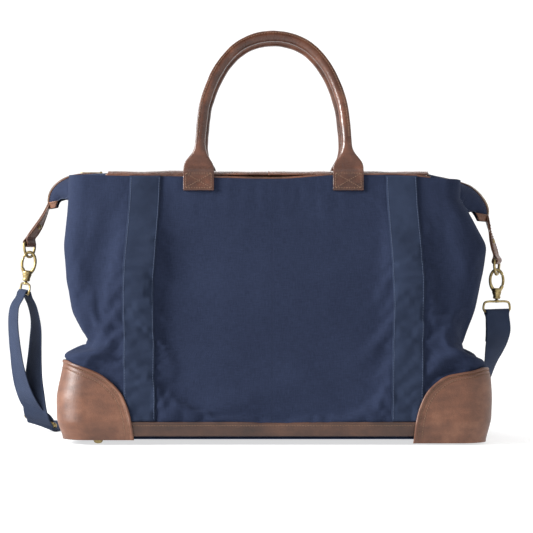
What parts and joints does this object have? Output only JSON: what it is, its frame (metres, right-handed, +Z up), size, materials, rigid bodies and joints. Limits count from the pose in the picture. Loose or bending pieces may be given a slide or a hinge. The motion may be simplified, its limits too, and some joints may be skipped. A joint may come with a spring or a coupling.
{
  "type": "weekender bag",
  "caption": "Canvas weekender bag with leather corners, rolled leather carry handles, a zipped top and a webbing shoulder strap clipped to a ring at each end.",
  "frame": {"origin": "the floor point under the centre foot, in the middle of the bag's base", "axes": "+X towards the bag's right end seen from the front, along its length; -Y towards the front; +Z up"},
  "size_m": [0.6687, 0.3309, 0.5337],
  "materials": {
    "canvas": "heavy woven cotton canvas",
    "webbing": "ribbed cotton webbing",
    "leather": "mottled pull-up, satin",
    "handle_leather": "smooth, semi-gloss",
    "brass": "antique, brushed",
    "zip_teeth": "antique",
    "lining_cloth": "plain twill",
    "board": "matt fibreboard",
    "rope": "twisted cotton"
  },
  "bodies": {
    "bag": {"front_panel": "canvas", "back_panel": "canvas", "left_gusset": "canvas", "right_gusset": "canvas", "base_panel": "canvas", "base_board": "board", "lining": "lining_cloth", "front_base_band": "leather", "back_base_band": "leather", "front_left_corner": "leather", "front_right_corner": "leather", "back_left_corner": "leather", "back_right_corner": "leather", "front_left_webbing": "webbing", "front_right_webbing": "webbing", "back_left_webbing": "webbing", "back_right_webbing": "webbing", "foot_front_left": "brass", "foot_front_right": "brass", "foot_back_left": "brass", "foot_back_right": "brass", "foot_centre": "brass", "left_ear": "canvas", "right_ear": "canvas", "left_zip_end": "leather", "right_zip_end": "leather", "front_left_handle_patch": "handle_leather", "front_right_handle_patch": "handle_leather", "back_left_handle_patch": "handle_leather", "back_right_handle_patch": "handle_leather"},
    "front_handle": {"front_handle_leather": "handle_leather", "front_handle_core": "rope", "front_left_handle_neck": "handle_leather", "front_right_handle_neck": "handle_leather"},
    "front_mouth": {"front_zip_facing": "handle_leather", "front_zip_teeth": "zip_teeth"},
    "back_handle": {"back_handle_leather": "handle_leather", "back_handle_core": "rope", "back_left_handle_neck": "handle_leather", "back_right_handle_neck": "handle_leather"},
    "back_mouth": {"back_zip_facing": "handle_leather", "back_zip_teeth": "zip_teeth"},
    "zip_slider": {"zip_slider": "brass"},
    "zip_puller": {"zip_puller": "brass"},
    "strap": {"left_ring_tab": "leather", "right_ring_tab": "leather", "left_tab_rivet": "brass", "right_tab_rivet": "brass", "left_hook_bail": "brass", "right_hook_bail": "brass", "strap_right_end": "webbing", "strap_main": "webbing", "strap_left_loop": "webbing", "strap_slider": "brass"},
    "left_ring": {"left_d_ring": "brass"},
    "left_hook": {"left_hook": "brass"},
    "left_gate": {"left_hook_gate": "brass"},
    "right_ring": {"right_d_ring": "brass"},
    "right_hook": {"right_hook": "brass"},
    "right_gate": {"right_hook_gate": "brass"}
  },
  "joints": [
    {"name": "front_handle_fold", "type": "hinge", "parent": "bag", "child": "front_handle", "pos_m": [0, -0.0664, 0.3512], "axis": [1, 0, 0], "range_deg": [0, 140]},
    {"name": "back_handle_fold", "type": "hinge", "parent": "bag", "child": "back_handle", "pos_m": [0, 0.0664, 0.3512], "axis": [-1, 0, 0], "range_deg": [0, 140]},
    {"name": "front_mouth_fold", "type": "hinge", "parent": "bag", "child": "front_mouth", "pos_m": [0, -0.0598, 0.3444], "axis": [1, 0, 0], "range_deg": [0, 45]},
    {"name": "back_mouth_fold", "type": "hinge", "parent": "bag", "child": "back_mouth", "pos_m": [0, 0.0598, 0.3444], "axis": [-1, 0, 0], "range_deg": [0, 45]},
    {"name": "zip_slide", "type": "slide", "parent": "bag", "child": "zip_slider", "axis": [1, 0, 0], "range_m": [0, 0.415]},
    {"name": "zip_puller_flip", "type": "hinge", "parent": "zip_slider", "child": "zip_puller", "pos_m": [-0.227, 0, 0.3506], "axis": [0, 1, 0], "range_deg": [0, 150]},
    {"name": "strap_swing", "type": "hinge", "parent": "bag", "child": "strap", "pos_m": [-0.0068, 0, 0.297], "axis": [0.9996, 0, -0.0273], "range_deg": [0, 150]},
    {"name": "left_ring_rock", "type": "hinge", "parent": "strap", "child": "left_ring", "pos_m": [-0.3215, 0, 0.2575], "axis": [0.4067, 0.9135, 0], "range_deg": [-4, 4]},
    {"name": "left_hook_swivel", "type": "hinge", "parent": "strap", "child": "left_hook", "pos_m": [-0.32567, 0, 0.20979], "axis": [0.1392, 0, 0.9903], "range_deg": [-20, 8]},
    {"name": "left_gate_press", "type": "hinge", "parent": "left_hook", "child": "left_gate", "pos_m": [-0.33194, 0, 0.22703], "axis": [0, 1, 0], "range_deg": [0, 20], "stiffness_Nm_per_rad": 0.05},
    {"name": "right_ring_rock", "type": "hinge", "parent": "strap", "child": "right_ring", "pos_m": [0.2945, 0, 0.2345], "axis": [0.342, 0.9397, 0], "range_deg": [-4, 4]},
    {"name": "right_hook_swivel", "type": "hinge", "parent": "strap", "child": "right_hook", "pos_m": [0.2945, 0, 0.1865], "axis": [0, 0, 1], "range_deg": [-20, 20]},
    {"name": "right_gate_press", "type": "hinge", "parent": "right_hook", "child": "right_gate", "pos_m": [0.3031, 0, 0.2027], "axis": [0, -1, 0], "range_deg": [0, 20], "stiffness_Nm_per_rad": 0.05}
  ]
}
